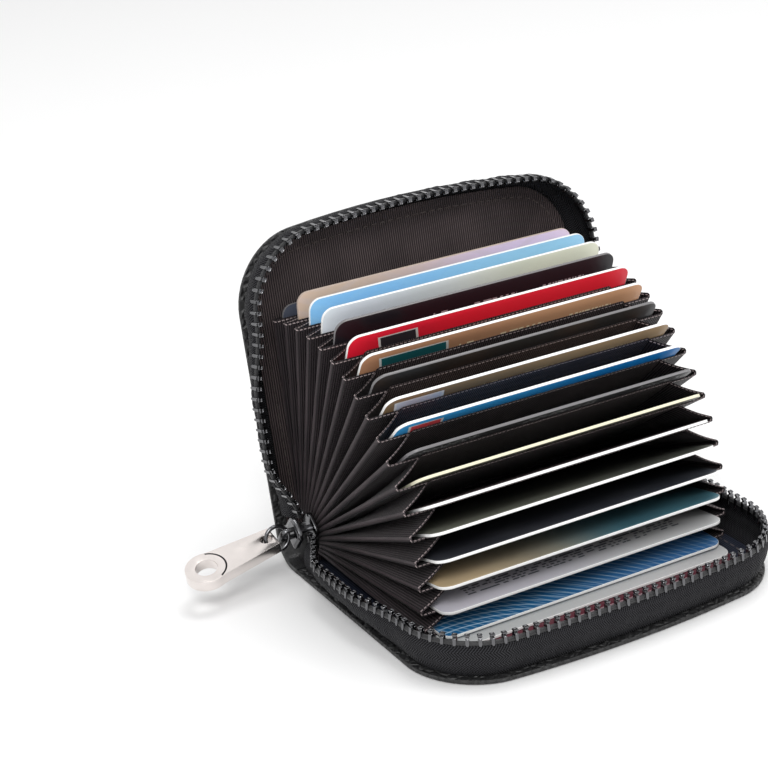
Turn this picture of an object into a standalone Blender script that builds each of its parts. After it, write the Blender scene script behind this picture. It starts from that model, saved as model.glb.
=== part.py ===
"""Zip-around card wallet with an accordion of pockets, open and standing on its lower cover.

Metres, +Z up. X runs along the spine, with the zip slider at -X. The mouth is at -Y and the spine
at +Y. The origin is the middle of the underside of the lower cover. The cover hinge is a line along
X half way up the closed wallet. Heights inside a cover are measured from its outer face.
"""
import math

import bmesh
import bpy
from mathutils import Matrix, Vector

MM = 0.001

# covers
cover_length = 106.0 * MM
cover_depth = 77.0 * MM
closed_thickness = 28.0 * MM
mouth_corner_radius = 18.0 * MM
mouth_bow = 4.5 * MM
leather_thickness = 1.3 * MM
leather_edge_round = 0.35 * MM
hinge_inset = 2.0 * MM
opening_angle = math.radians(100.0)
spine_bend_radius = 9.0 * MM
board_thickness = 0.7 * MM
board_inset = 8.5 * MM
lining_thickness = 0.35 * MM
ply_gap = 0.1 * MM
seam_gap = 0.3 * MM

# zip
tape_inset = 1.9 * MM
tape_thickness = 0.5 * MM
tape_flange = 5.5 * MM
tape_bulge = 1.2 * MM
tape_start = 2.4 * MM
near_lean = 6.5 * MM
mouth_lean = 2.8 * MM
lean_rise = 17.0 * MM
lean_settle = 22.0 * MM
row_width = 2.2 * MM
row_height = 1.6 * MM
tooth_pitch = 2.8 * MM
tooth_length = 1.4 * MM
tooth_height = 1.1 * MM
tooth_width = 1.7 * MM
row_gap = 0.12 * MM

# accordion
bay_count = 18
leaf_thickness = 0.2 * MM
leaf_half_length = 38.0 * MM
leaf_foot = 6.0 * MM
leaf_reach = 56.0 * MM
leaf_corner = 2.0 * MM
pleat_wall = 0.13 * MM
pleat_reach = 46.6 * MM
pleat_foot = 8.5 * MM
pleat_mouth = 55.0 * MM
pleat_notch = 0.5 * MM

# cards
card_length = 85.6 * MM
card_height = 53.98 * MM
card_thickness = 0.76 * MM
card_corner = 3.18 * MM
card_foot = 5.6 * MM
card_step = 2.6 * MM
last_card_drop = 4.0 * MM
last_card_shift = -1.5 * MM

# slip pocket in the lower cover
slip_thickness = 0.3 * MM
slip_height = 41.0 * MM
slip_foot = 8.0 * MM
slip_step = 2.5 * MM
slip_seam = 1.2 * MM
slip_cards = 2

# slider and pull
slider_length = 7.4 * MM
slider_height = 7.0 * MM
slider_plate = 1.1 * MM
slider_corner = 1.6 * MM
slider_back_share = 0.62
post_width = 1.6 * MM
bail_wire = 1.1 * MM
bail_height = 3.9 * MM
bail_length = 6.0 * MM
bail_width = 1.2 * MM
link_radius = 3.3 * MM
link_wire = 0.55 * MM
link_grip = 2.0 * MM
tab_length = 26.0 * MM
tab_thickness = 3.0 * MM
tab_edge_round = 0.4 * MM
neck_width = 7.2 * MM
neck_corner = 1.2 * MM
ring_end_radius = 5.7 * MM
ring_hole_radius = 3.0 * MM
eye_radius = 1.6 * MM
eye_inset = 2.5 * MM
pull_drop = math.radians(9.3)
pull_roll = math.radians(12.5)
link_roll = math.radians(-11.5)

# worked out from the sizes above
half = closed_thickness / 2
hinge_y = cover_depth / 2 - hinge_inset
hinge = Vector((0, hinge_y, half))
mouth_reach = cover_depth - hinge_inset
cover_stack = leather_thickness + board_thickness + lining_thickness + 2 * ply_gap
slip_stack = slip_cards * (card_thickness + ply_gap) + slip_thickness + ply_gap
bay_pitch = (closed_thickness - 2 * cover_stack - slip_stack) / bay_count
card_gap = (bay_pitch - leaf_thickness - card_thickness) / 2
leaf_angle = opening_angle / bay_count
fan_foot = -half + cover_stack + slip_stack


for old in list(bpy.data.objects):
    bpy.data.objects.remove(old, do_unlink=True)


def material(name, colour, roughness, metallic):
    made = bpy.data.materials.get(name)
    if made:
        return made
    made = bpy.data.materials.new(name)
    made.use_nodes = True
    shader = made.node_tree.nodes["Principled BSDF"]
    shader.inputs["Base Color"].default_value = (*colour, 1.0)
    shader.inputs["Roughness"].default_value = roughness
    shader.inputs["Metallic"].default_value = metallic
    made.diffuse_color = (*colour, 1.0)
    return made


LEATHER = material("black pebbled leather", (0.018, 0.018, 0.02), 0.45, 0.0)
BOARD = material("grey board", (0.30, 0.28, 0.25), 0.85, 0.0)
LINING = material("dark brown nylon lining", (0.045, 0.036, 0.033), 0.6, 0.0)
TAPE = material("black woven tape", (0.02, 0.02, 0.022), 0.8, 0.0)
TEETH = material("black nylon teeth", (0.03, 0.03, 0.032), 0.25, 0.2)
GUNMETAL = material("polished gunmetal", (0.20, 0.20, 0.21), 0.15, 1.0)


def card_material(name, colour):
    return material("card " + name, colour, 0.35, 0.0)


def make(name, bm, finish, location=(0, 0, 0), turn=0.0, smooth=False, matrix=None):
    """An object from a bmesh, placed by its location and its turn about X."""
    bmesh.ops.recalc_face_normals(bm, faces=bm.faces[:])
    mesh = bpy.data.meshes.new(name)
    bm.to_mesh(mesh)
    bm.free()
    mesh.materials.append(finish)
    if smooth:
        mesh.shade_smooth()
        mesh.set_sharp_from_angle(angle=math.radians(40.0))
    made = bpy.data.objects.new(name, mesh)
    bpy.context.scene.collection.objects.link(made)
    made.location = location
    made.rotation_euler = (turn, 0, 0)
    if matrix:
        made.matrix_world = matrix
    return made


def loft(rings, closed_ends=True, loop=False):
    """A bmesh through rings of as many points each, with its ends capped."""
    bm = bmesh.new()
    rows = [[bm.verts.new(p) for p in ring] for ring in rings]
    pairs = list(zip(rows, rows[1:]))
    if loop:
        pairs.append((rows[-1], rows[0]))
    for a, b in pairs:
        for i in range(len(a)):
            j = (i + 1) % len(a)
            bm.faces.new((a[i], a[j], b[j], b[i]))
    if closed_ends and not loop:
        bm.faces.new(rows[0][::-1])
        bm.faces.new(rows[-1])
    return bm


def arc(centre, radius, start, end, steps):
    """Points on an arc in a plane, both ends included."""
    out = []
    for i in range(steps + 1):
        a = start + (end - start) * i / steps
        out.append((centre[0] + radius * math.cos(a), centre[1] + radius * math.sin(a)))
    return out


def rounded(x0, x1, y0, y1, radius, steps=4):
    """A rectangle with four round corners, anticlockwise."""
    q = math.pi / 2
    return (
        arc((x1 - radius, y0 + radius), radius, -q, 0, steps)
        + arc((x1 - radius, y1 - radius), radius, 0, q, steps)
        + arc((x0 + radius, y1 - radius), radius, q, 2 * q, steps)
        + arc((x0 + radius, y0 + radius), radius, 2 * q, 3 * q, steps)
    )


def bowed(x, y):
    """A place in a cover, moved towards the mouth as far as the bowed mouth edge asks there."""
    across = max(0.0, 1 - (2 * x / cover_length) ** 2)
    return x, y - mouth_bow * across * max(0.0, -y / mouth_reach)


def cover_outline(inset, back, steps=10, mouth_steps=8):
    """The outline of a cover seen from above, round at its mouth corners and square at the spine.
    Y is measured from the hinge. back is how far its spine edge lies behind the hinge."""
    x = cover_length / 2 - inset
    y = -mouth_reach + inset
    radius = mouth_corner_radius - inset
    q = math.pi / 2
    mouth = [((x - radius) * (2 * i / mouth_steps - 1), y) for i in range(1, mouth_steps)]
    outline = (
        [(x, back), (-x, back)]
        + arc((-x + radius, y + radius), radius, 2 * q, 3 * q, steps)
        + mouth
        + arc((x - radius, y + radius), radius, 3 * q, 4 * q, steps)
    )
    return [bowed(*place) for place in outline]


def flat(outline, low, high):
    """A plate with upright sides."""
    return loft([[(x, y, low) for x, y in outline], [(x, y, high) for x, y in outline]])


def level(side, height):
    """The height from the hinge plane of what lies at a height above a cover's outer face."""
    return side * (half - height)


LOWER, UPPER = -1, 1
SIDES = {"lower": (LOWER, 0.0), "upper": (UPPER, -opening_angle)}


def leather_cover(name, side, turn):
    rings = []
    for height, inset in (
        (0, leather_edge_round),
        (leather_edge_round, 0),
        (leather_thickness - leather_edge_round, 0),
        (leather_thickness, leather_edge_round),
    ):
        z = level(side, height)
        rings.append([(x, y, z) for x, y in cover_outline(inset, hinge_inset - inset)])
    make(name, loft(rings), LEATHER, hinge, turn)


def ply(name, side, turn, inset, low, thickness, finish, back):
    outline = cover_outline(inset, back)
    make(name, flat(outline, level(side, low), level(side, low + thickness)), finish, hinge, turn)


def eased(share):
    """0 to 1 with a soft start and end."""
    share = min(max(share, 0.0), 1.0)
    return share * share * (3 - 2 * share)


def side_lean(reach, straight, most):
    """How far the top of the tape leans outward on a side, from the hinge to the mouth corner.
    It starts upright in the slider, leans most a little way on, and settles at the mouth's lean."""
    rise = eased((reach - tape_start) / lean_rise)
    settle = eased((reach - straight + lean_settle) / lean_settle)
    return rise * (most + (mouth_lean - most) * settle)


def zip_path(inset, near, far, corner_steps=8, side_steps=9, mouth_steps=10):
    """The zip's line round the near end, the mouth and the far end, with the outward direction
    and the lean at each point. near and far are how far from the hinge it starts and stops."""
    x = cover_length / 2 - inset
    y = -mouth_reach + inset
    radius = mouth_corner_radius - inset
    straight = -y - radius
    q = math.pi / 2
    out = []
    for i in range(side_steps + 1):
        reach = near + (straight - near) * i / side_steps
        out.append(((-x, -reach), (-1, 0), side_lean(reach, straight, near_lean)))
    for i in range(1, corner_steps + 1):
        a = 2 * q + q * i / corner_steps
        d = (math.cos(a), math.sin(a))
        out.append(((-x + radius + radius * d[0], y + radius + radius * d[1]), d, mouth_lean))
    for i in range(1, mouth_steps + 1):
        out.append((((x - radius) * (2 * i / mouth_steps - 1), y), (0, -1), mouth_lean))
    for i in range(1, corner_steps + 1):
        a = 3 * q + q * i / corner_steps
        d = (math.cos(a), math.sin(a))
        out.append(((x - radius + radius * d[0], y + radius + radius * d[1]), d, mouth_lean))
    for i in range(1, side_steps + 1):
        reach = straight + (far - straight) * i / side_steps
        out.append(((x, -reach), (1, 0), side_lean(reach, straight, mouth_lean)))
    return out


def tape_sweep(path, side):
    """A flange between the leather and the lining, and a wall that bulges and leans outward."""
    foot = leather_thickness + ply_gap
    top = half - row_gap - tooth_height - row_height
    rise = top - foot
    t = tape_thickness
    wall_shares = ((0.0, 0.0), (0.18, 0.55), (0.4, 1.0), (0.65, 0.9), (0.85, 0.4), (1.0, -0.5))
    rings = []
    for p, d, lean in path:
        outer = [(tape_bulge * b + lean * a, foot + rise * a) for a, b in wall_shares]
        inner = [(tape_bulge * b + lean * a - t, foot + t + (rise - t) * a) for a, b in wall_shares]
        profile = [(-tape_flange, foot)] + outer + inner[::-1] + [(-tape_flange, foot + t)]
        places = [(*bowed(p[0] + d[0] * o, p[1] + d[1] * o), level(side, h)) for o, h in profile]
        rings.append(places)
    return loft(rings)


def along(line, s):
    """The place and the outward direction at a distance along a line of straight steps."""
    for (p, d), (q, e) in zip(line, line[1:]):
        step = math.dist(p, q)
        if s <= step or (q, e) == line[-1]:
            break
        s -= step
    f = s / step
    place = (p[0] + (q[0] - p[0]) * f, p[1] + (q[1] - p[1]) * f)
    return place, Vector((d[0] + (e[0] - d[0]) * f, d[1] + (e[1] - d[1]) * f)).normalized()


def teeth_row(side, shift):
    """The bead of the zip with its teeth standing on it, as one solid."""
    inward = tape_bulge * 0.5 + tape_thickness / 2
    path = zip_path(tape_inset, tape_start, tape_start, 10)
    line = [(bowed(p[0] + d[0] * (b - inward), p[1] + d[1] * (b - inward)), d) for p, d, b in path]
    total = sum(math.dist(a[0], b[0]) for a, b in zip(line, line[1:]))
    count = int((total - tooth_length) / tooth_pitch)
    start = (total - count * tooth_pitch) / 2 + shift
    marks = [0]
    for n in range(count):
        marks += [start + n * tooth_pitch, start + n * tooth_pitch + tooth_length]
    marks.append(total)
    places = [along(line, s) for s in marks]
    base = half - row_gap - tooth_height
    low, high = base - row_height, base + tooth_height
    w, v = row_width / 2, tooth_width / 2
    bm = bmesh.new()
    rows = []
    for p, d in places:
        row = []
        for o, h in ((-w, low), (w, low), (w, base), (v, base), (-v, base), (-w, base)):
            row.append(bm.verts.new((p[0] + d[0] * o, p[1] + d[1] * o, level(side, h))))
        rows.append(row)
    for a, b in zip(rows, rows[1:]):
        for i in (0, 1, 2, 4, 5):
            j = (i + 1) % 6
            bm.faces.new((a[i], a[j], b[j], b[i]))
    for n, (a, b) in enumerate(zip(rows, rows[1:])):
        if n % 2 == 0:
            bm.faces.new((a[3], a[4], b[4], b[3]))
            continue
        tops = []
        for row, (p, d) in ((a, places[n]), (b, places[n + 1])):
            tops.append([
                bm.verts.new((p[0] + d[0] * o, p[1] + d[1] * o, level(side, high)))
                for o in (v, -v)
            ])
        (a3, a4), (b3, b4) = tops
        bm.faces.new((a[3], a3, b3, b[3]))
        bm.faces.new((a[4], b[4], b4, a4))
        bm.faces.new((a3, a4, b4, b3))
        bm.faces.new((a[3], a[4], a4, a3))
        bm.faces.new((b[3], b3, b4, b[4]))
    bm.faces.new(rows[0])
    bm.faces.new(rows[-1][::-1])
    return bm


def spine_leather():
    """The skin that joins the covers behind the hinge: a round bend between two straight edges."""
    centre_y = (half - spine_bend_radius) / math.tan(opening_angle / 2)
    centre_z = -(half - spine_bend_radius)
    q = math.pi / 2
    start = hinge_inset + seam_gap
    along = Vector((-math.cos(opening_angle), math.sin(opening_angle)))
    outer = [(start, -half)]
    outer += arc((centre_y, centre_z), spine_bend_radius, -q, q - opening_angle, 10)
    run = centre_y - start
    outer.append((outer[-1][0] + along[0] * run, outer[-1][1] + along[1] * run))
    inner_radius = spine_bend_radius - leather_thickness
    inner = [(start, -half + leather_thickness)]
    inner += arc((centre_y, centre_z), inner_radius, -q, q - opening_angle, 10)
    inner.append((inner[-1][0] + along[0] * run, inner[-1][1] + along[1] * run))
    profile = outer + inner[::-1]
    x = cover_length / 2
    bm = loft([[(-x, y, z) for y, z in profile], [(x, y, z) for y, z in profile]])
    make("spine_leather", bm, LEATHER, hinge, 0.0, smooth=True)


def fan_place(plane, x, reach, height):
    """A point by its leaf plane, its place along the spine, its reach and its height over it."""
    angle = leaf_angle * plane
    z = fan_foot + bay_pitch * plane + height
    y = -reach
    return (x, y * math.cos(angle) + z * math.sin(angle), z * math.cos(angle) - y * math.sin(angle))


def gusset(name, end):
    """The pleated strip that closes the pockets at one end: one fold in, one fold out per bay."""
    t = pleat_wall
    card_top = card_gap + card_thickness + leaf_thickness / 2
    crest = card_top + 2 * card_gap + t
    notch = leaf_half_length + seam_gap + pleat_notch
    fold = leaf_half_length + seam_gap
    rings = []
    for reach in (pleat_foot, (pleat_foot + pleat_mouth) / 2, pleat_mouth):
        outer, inner = [], []
        for bay in range(bay_count):
            low = 0.0
            outer += [(bay, notch, low), (bay, pleat_reach + t, low), (bay, pleat_reach + t, crest)]
            inner += [(bay, fold, low + t), (bay, pleat_reach, low + t), (bay, pleat_reach, crest - t)]
            outer_end, inner_end = (bay + 1, notch, 0.0), (bay + 1, fold, -t)
            inner.append(inner_end)
        outer.append(outer_end)
        rings.append(
            (
                [fan_place(b, end * x, reach, h) for b, x, h in outer],
                [fan_place(b, end * x, reach, h) for b, x, h in inner],
            )
        )
    bm = bmesh.new()
    made = [([bm.verts.new(p) for p in o], [bm.verts.new(p) for p in i]) for o, i in rings]
    for (o1, i1), (o2, i2) in zip(made, made[1:]):
        for line, other in ((o1, o2), (i1, i2)):
            for a in range(len(line) - 1):
                bm.faces.new((line[a], line[a + 1], other[a + 1], other[a]))
        bm.faces.new((o1[0], o2[0], i2[0], i1[0]))
        bm.faces.new((o1[-1], i1[-1], i2[-1], o2[-1]))
    for o, i in (made[0], made[-1]):
        for bay in range(bay_count):
            a, c = 3 * bay, 4 * bay
            bm.faces.new((o[a], o[a + 1], i[c + 1], i[c]))
            bm.faces.new((o[a + 1], o[a + 2], i[c + 2], i[c + 1]))
            bm.faces.new((o[a + 2], o[a + 3], i[c + 3], i[c + 2]))
            if bay < bay_count - 1:
                bm.faces.new((o[a + 3], i[c + 4], i[c + 3]))
    make(name, bm, LINING, hinge)


def card(name, plane, height, foot, colour, shift=0.0):
    """A card in its pocket, parallel to the leaf under it."""
    x = card_length / 2
    outline = rounded(shift - x, shift + x, -foot - card_height, -foot, card_corner)
    z = fan_foot + bay_pitch * plane + height
    make(name, flat(outline, z, z + card_thickness), card_material(name, colour), hinge,
         -leaf_angle * plane)


# the two covers
for word, (side, turn) in SIDES.items():
    leather_cover(word + "_cover_leather", side, turn)
    ply(word + "_cover_board", side, turn, board_inset, leather_thickness + ply_gap,
        board_thickness, BOARD, hinge_inset - ply_gap)
    ply(word + "_cover_lining", side, turn, tape_inset + tape_thickness + seam_gap,
        leather_thickness + board_thickness + 2 * ply_gap, lining_thickness, LINING,
        hinge_inset - ply_gap)
    path = zip_path(tape_inset, tape_start, tape_start)
    make(word + "_zip_tape", tape_sweep(path, side), TAPE, hinge, turn, smooth=True)
    shift = tooth_pitch / 4 * side
    make(word + "_zip_teeth", teeth_row(side, shift), TEETH, hinge, turn)
spine_leather()

# the leaves between the pockets and the strips that close their ends
for n in range(1, bay_count):
    x = leaf_half_length
    outline = rounded(-x, x, -leaf_reach, -leaf_foot, leaf_corner, 3)
    z = fan_foot + bay_pitch * n
    bm = flat(outline, z - leaf_thickness / 2, z + leaf_thickness / 2)
    make(f"pocket_leaf_{n:02d}", bm, LINING, hinge, -leaf_angle * n)
gusset("near_gusset", -1)
gusset("far_gusset", 1)

# one card in each pocket, from the lower cover up
card_colours = (
    ("blue_lined", (0.03, 0.10, 0.42)),
    ("grey_text", (0.62, 0.63, 0.64)),
    ("teal", (0.03, 0.22, 0.24)),
    ("white_edge", (0.72, 0.72, 0.70)),
    ("dark_green", (0.08, 0.13, 0.11)),
    ("white", (0.80, 0.80, 0.80)),
    ("cream_green", (0.55, 0.58, 0.40)),
    ("black_gloss", (0.02, 0.02, 0.022)),
    ("blue", (0.02, 0.12, 0.50)),
    ("olive", (0.28, 0.24, 0.08)),
    ("black_matt", (0.03, 0.03, 0.03)),
    ("bronze", (0.20, 0.10, 0.06)),
    ("red", (0.50, 0.02, 0.02)),
    ("black_plain", (0.025, 0.025, 0.03)),
    ("pale_green", (0.60, 0.66, 0.62)),
    ("light_blue", (0.22, 0.50, 0.75)),
    ("lilac", (0.62, 0.42, 0.55)),
    ("navy", (0.03, 0.04, 0.10)),
)
for n, (word, colour) in enumerate(card_colours[:bay_count]):
    foot = card_foot + card_step * n / (bay_count - 1)
    last = n == bay_count - 1
    card(f"card_{n + 1:02d}_{word}", n, card_gap + leaf_thickness / 2,
         foot - last_card_drop * last, colour, last_card_shift * last)

# the slip pocket on the lower lining, with two cards under its panel
slip_low = cover_stack + ply_gap
for n, (word, colour) in enumerate((("maroon", (0.22, 0.02, 0.05)), ("grey", (0.66, 0.67, 0.68)))):
    x = card_length / 2
    foot = slip_foot + slip_seam + seam_gap + slip_step * (1 - n)
    outline = rounded(-x, x, -foot - card_height, -foot, card_corner)
    z = -half + slip_low + n * (card_thickness + ply_gap)
    name = f"slip_card_{n + 1}_{word}"
    make(name, flat(outline, z, z + card_thickness), card_material(name, colour), hinge)


def slip_pocket():
    """A panel over the slip cards with a seam wall down to the lining round three sides."""
    x0 = card_length / 2 + seam_gap
    x1 = x0 + slip_seam
    back, front = -slip_foot, -slip_foot - slip_height
    low = -half + slip_low
    panel = low + slip_cards * (card_thickness + ply_gap)
    top = panel + slip_thickness
    wall = back - slip_seam
    bm = bmesh.new()
    outer = [(x1, front), (x1, back), (-x1, back), (-x1, front)]
    inner = [(x0, front), (x0, wall), (-x0, wall), (-x0, front)]
    v = {}
    for label, ring, z in (("ol", outer, low), ("ot", outer, top), ("il", inner, low), ("ip", inner, panel)):
        v[label] = [bm.verts.new((x, y, z)) for x, y in ring]
    for i in range(3):
        bm.faces.new((v["ol"][i], v["ol"][i + 1], v["ot"][i + 1], v["ot"][i]))
        bm.faces.new((v["il"][i], v["ip"][i], v["ip"][i + 1], v["il"][i + 1]))
        bm.faces.new((v["ol"][i], v["il"][i], v["il"][i + 1], v["ol"][i + 1]))
    bm.faces.new(v["ot"])
    bm.faces.new(v["ip"][::-1])
    bm.faces.new((v["ol"][0], v["ot"][0], v["ip"][0], v["il"][0]))
    bm.faces.new((v["ol"][3], v["il"][3], v["ip"][3], v["ot"][3]))
    bm.faces.new((v["ot"][0], v["ot"][3], v["ip"][3], v["ip"][0]))
    make("slip_pocket_panel", bm, LINING, hinge)


slip_pocket()


# the slider, on the bisector of the two covers, with its bail outside
slider_turn = -opening_angle / 2
row_x = cover_length / 2 - tape_inset - tape_bulge * 0.5 - tape_thickness / 2
inner_face = row_x - row_width / 2 - seam_gap
outer_face = cover_length / 2 - tape_inset + tape_bulge + seam_gap
back = slider_length * slider_back_share
front = back - slider_length


def plate_ring(x, inset):
    h = slider_height / 2 - inset
    return [(-x, y, z) for y, z in rounded(front + inset, back - inset, -h, h, slider_corner - inset, 4)]


def slider():
    """Two plates joined by a post, with a bail for the link on the outer plate."""
    bevel = slider_plate / 3
    bm = loft([
        plate_ring(outer_face, 0),
        plate_ring(outer_face + slider_plate - bevel, 0),
        plate_ring(outer_face + slider_plate, bevel),
    ])
    body = make("zip_slider", bm, GUNMETAL, hinge, slider_turn)
    inner = make("slider_inner_plate", loft([
        plate_ring(inner_face - slider_plate, bevel),
        plate_ring(inner_face - slider_plate + bevel, 0),
        plate_ring(inner_face, 0),
    ]), GUNMETAL, hinge, slider_turn)
    w = post_width / 2
    sink = slider_plate / 2
    post_outline = [(-w, -w), (w, -w), (w, w), (-w, w)]
    shift = (back + front) / 2
    post = make("slider_post", loft([
        [(-inner_face + sink, y + shift, z) for y, z in post_outline],
        [(-outer_face - sink, y + shift, z) for y, z in post_outline],
    ]), GUNMETAL, hinge, slider_turn)
    foot = -outer_face - slider_plate
    span, rise = bail_length / 2, bail_height
    wire = bail_wire
    outer = [(foot + sink, shift - span), (foot - rise + wire, shift - span),
             (foot - rise, shift - span + wire), (foot - rise, shift + span - wire),
             (foot - rise + wire, shift + span), (foot + sink, shift + span)]
    inner_line = [(foot + sink, shift + span - wire), (foot - rise + wire, shift + span - wire),
                  (foot - rise + wire, shift - span + wire), (foot + sink, shift - span + wire)]
    outline = outer + inner_line
    bail = make("slider_bail", loft([
        [(x, y, -bail_width / 2) for x, y in outline],
        [(x, y, bail_width / 2) for x, y in outline],
    ]), GUNMETAL, hinge, slider_turn)
    for piece in (inner, post, bail):
        piece.hide_render = True
        piece.display_type = "WIRE"
        joined = body.modifiers.new("join " + piece.name, "BOOLEAN")
        joined.operation = "UNION"
        joined.solver = "EXACT"
        joined.object = piece


slider()

# the link and the pull tab, which stand out from the end of the wallet
bar = Vector((-outer_face - slider_plate - bail_height + bail_wire / 2, (back + front) / 2, 0))
bar = hinge + Matrix.Rotation(slider_turn, 3, "X") @ bar
drop = Matrix.Translation(bar) @ Matrix.Rotation(-pull_drop, 4, "Y")
link_frame = drop @ Matrix.Rotation(link_roll, 4, "X")
pull_frame = drop @ Matrix.Rotation(pull_roll, 4, "X")
link_middle = link_grip - link_radius


def link():
    """A round ring standing on edge, round the bar of the bail and through the eye of the tab."""
    steps, sides = 28, 8
    rings = []
    for i in range(steps):
        a = 2 * math.pi * i / steps
        ring = []
        for j in range(sides):
            b = 2 * math.pi * j / sides
            r = link_radius + link_wire * math.cos(b)
            ring.append((link_middle + r * math.cos(a), link_wire * math.sin(b), r * math.sin(a)))
        rings.append(ring)
    make("pull_link", loft(rings, loop=True), GUNMETAL, smooth=True, matrix=link_frame)


def tab():
    """A flat tab with a narrow neck and a round end, cut by its eye and its finger hole."""
    eye = link_middle - link_radius
    start = eye + eye_inset
    end = start - tab_length
    centre = end + ring_end_radius
    n = neck_width / 2
    meet = math.asin(n / ring_end_radius)
    q = math.pi / 2
    c = neck_corner
    neck_end = arc((start - c, -n + c), c, -q, 0, 4) + arc((start - c, n - c), c, 0, q, 4)
    big = arc((centre, 0), ring_end_radius, meet, 4 * q - meet, 24)
    outline = neck_end + big
    t, e = tab_thickness / 2, tab_edge_round

    def shrunk(amount):
        mid = (start + end) / 2
        size = Vector((tab_length / 2, ring_end_radius))
        fx = (size.x - amount) / size.x
        fy = (size.y - amount) / size.y
        return [(mid + (x - mid) * fx, y * fy) for x, y in outline]

    rings = []
    for z, amount in ((-t, e), (-t + e, 0), (t - e, 0), (t, e)):
        rings.append([(x, y, z) for x, y in shrunk(amount)])
    body = make("pull_tab", loft(rings), GUNMETAL, matrix=pull_frame)
    for name, x, radius in (("eye_cut", eye, eye_radius), ("finger_hole_cut", centre, ring_hole_radius)):
        circle = arc((x, 0), radius, 0, 4 * q, 20)[:-1]
        cutter = make(name, loft([[(a, b, -tab_thickness) for a, b in circle],
                                  [(a, b, tab_thickness) for a, b in circle]]), GUNMETAL,
                      matrix=pull_frame)
        cutter.hide_render = True
        cutter.display_type = "WIRE"
        cut = body.modifiers.new("cut " + name, "BOOLEAN")
        cut.operation = "DIFFERENCE"
        cut.solver = "EXACT"
        cut.object = cutter


link()
tab()
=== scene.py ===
"""Zip-around card wallet, open and standing on its lower cover, with an accordion of pockets."""
import math

import bmesh
import bpy
from mathutils import Matrix, Vector


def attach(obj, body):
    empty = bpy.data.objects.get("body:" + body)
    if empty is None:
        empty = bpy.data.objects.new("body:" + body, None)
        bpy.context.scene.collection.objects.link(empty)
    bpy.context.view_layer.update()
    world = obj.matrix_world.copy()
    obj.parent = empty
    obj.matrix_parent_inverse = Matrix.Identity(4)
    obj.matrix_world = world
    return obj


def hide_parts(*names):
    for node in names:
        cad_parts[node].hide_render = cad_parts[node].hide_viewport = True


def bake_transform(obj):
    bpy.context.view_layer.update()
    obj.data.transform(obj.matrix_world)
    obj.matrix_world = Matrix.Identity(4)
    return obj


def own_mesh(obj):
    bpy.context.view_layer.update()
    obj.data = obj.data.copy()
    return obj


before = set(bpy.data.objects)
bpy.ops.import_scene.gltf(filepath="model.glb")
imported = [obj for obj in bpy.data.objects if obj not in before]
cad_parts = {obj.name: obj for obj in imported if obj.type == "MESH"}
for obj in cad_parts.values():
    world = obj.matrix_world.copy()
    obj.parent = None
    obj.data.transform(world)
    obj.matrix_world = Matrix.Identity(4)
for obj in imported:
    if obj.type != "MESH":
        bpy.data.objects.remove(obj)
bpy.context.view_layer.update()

MM = 0.001

# the wallet's own sizes, as in the solids
half = 14.0 * MM
hinge = Vector((0, 36.5 * MM, half))
opening = math.radians(100.0)
half_length = 53.0 * MM
mouth_reach = 75.0 * MM
spine_lap = 2.0 * MM
mouth_corner = 18.0 * MM
mouth_bow = 4.5 * MM
leather = 1.3 * MM
bay_count = 18
bay_pitch = 1.15444 * MM
leaf_angle = opening / bay_count
fan_foot = -9.33 * MM
leaf_half = 38.0 * MM
leaf_root = 6.0 * MM
leaf_reach = 56.0 * MM
fan_half = 46.6 * MM
card_size = Vector((85.6, 53.98, 0.76)) * MM
card_lift = 0.1972 * MM
lining_top = 2.55 * MM
slip_foot = 2.65 * MM
tape_inset = 1.9 * MM
tape_start = 2.4 * MM
tape_top = 11.18 * MM
tape_lean = 2.8 * MM
row_middle = 0.85 * MM
pull_drop = math.radians(9.3)


def down():
    """Leave edit mode with nothing selected."""
    if bpy.context.mode != "OBJECT":
        bpy.ops.object.mode_set(mode="OBJECT")
    bpy.ops.object.select_all(action="DESELECT")


def hold(piece):
    """Leave edit mode with this piece alone selected."""
    down()
    piece.select_set(True)
    bpy.context.view_layer.objects.active = piece


def take(piece):
    """Take a piece in hand in edit mode."""
    hold(piece)
    bpy.ops.object.mode_set(mode="EDIT")


def begin(name):
    """Name the primitive just added, put its place and size into its mesh, and take it in hand."""
    piece = bpy.context.object
    piece.name = piece.data.name = name
    bpy.ops.object.transform_apply(location=True, rotation=True, scale=True)
    take(piece)
    return piece


def block(name, low, high):
    """Start a piece as a block between two corners, and take it in hand."""
    down()
    low, high = Vector(low), Vector(high)
    bpy.ops.mesh.primitive_cube_add(size=1, location=(low + high) / 2, scale=high - low)
    return begin(name)


def round_bar(name, middle, radius, depth, sides=72):
    """Start a piece as an upright round bar, and take it in hand."""
    down()
    bpy.ops.mesh.primitive_cylinder_add(vertices=sides, radius=radius, depth=depth, location=middle)
    return begin(name)


def discard(piece):
    bpy.data.objects.remove(piece, do_unlink=True)


def pick(piece, where):
    """Select the faces of the piece in hand by their middle and normal."""
    bpy.ops.mesh.select_mode(type="FACE")
    bpy.ops.mesh.select_all(action="DESELECT")
    mesh = bmesh.from_edit_mesh(piece.data)
    for face in mesh.faces:
        face.select_set(bool(where(face.calc_center_median(), face.normal)))
    bmesh.update_edit_mesh(piece.data)


def bevel(piece, offset, segments, where):
    """Round edges of the piece in hand, chosen by their middle and direction."""
    bpy.ops.mesh.select_mode(type="EDGE")
    bpy.ops.mesh.select_all(action="DESELECT")
    mesh = bmesh.from_edit_mesh(piece.data)
    for edge in mesh.edges:
        a, b = edge.verts
        if where((a.co + b.co) / 2, (b.co - a.co).normalized()):
            edge.select_set(True)
    bmesh.update_edit_mesh(piece.data)
    bpy.ops.mesh.bevel(offset=offset, segments=segments, affect="EDGES")


def pick_all():
    bpy.ops.mesh.select_all(action="SELECT")


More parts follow.
